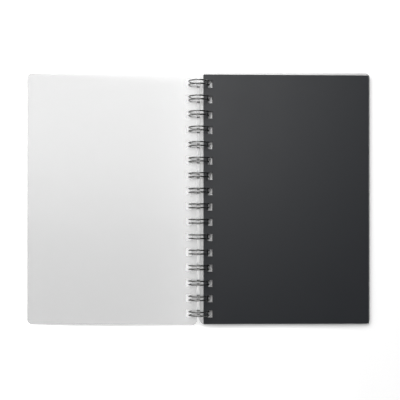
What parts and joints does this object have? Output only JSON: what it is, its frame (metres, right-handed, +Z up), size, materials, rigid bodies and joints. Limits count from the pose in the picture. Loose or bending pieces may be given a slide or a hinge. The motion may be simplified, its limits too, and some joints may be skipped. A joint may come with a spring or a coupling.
{
  "type": "spiral notebook",
  "caption": "Open notebook bound with a twin-loop wire: frosted plastic covers and black pages that turn about the rings.",
  "frame": {"origin": "on the table, straight below the axis of the binding rings, halfway along the spine", "axes": "+X from the spine towards the fore-edge of the pages, +Y towards the top of the page, +Z up; the axis of the rings runs along Y"},
  "size_m": [0.2871, 0.21, 0.018],
  "materials": {
    "frosted_polypropylene": "satin",
    "black_paper": "satin",
    "nickel_plated_wire": "polished"
  },
  "bodies": {
    "back": {"back_cover": "frosted_polypropylene", "binding_wire": "nickel_plated_wire"},
    "pages": {"page_block": "black_paper"},
    "front": {"front_cover": "frosted_polypropylene"}
  },
  "joints": [
    {"name": "turn_pages", "type": "hinge", "parent": "back", "child": "pages", "pos_m": [0, 0, 0.009], "axis": [0, -1, 0], "range_deg": [0, 185.3]},
    {"name": "turn_front_cover", "type": "hinge", "parent": "back", "child": "front", "pos_m": [0, 0, 0.009], "axis": [0, 1, 0], "range_deg": [-85, 185.3]}
  ]
}
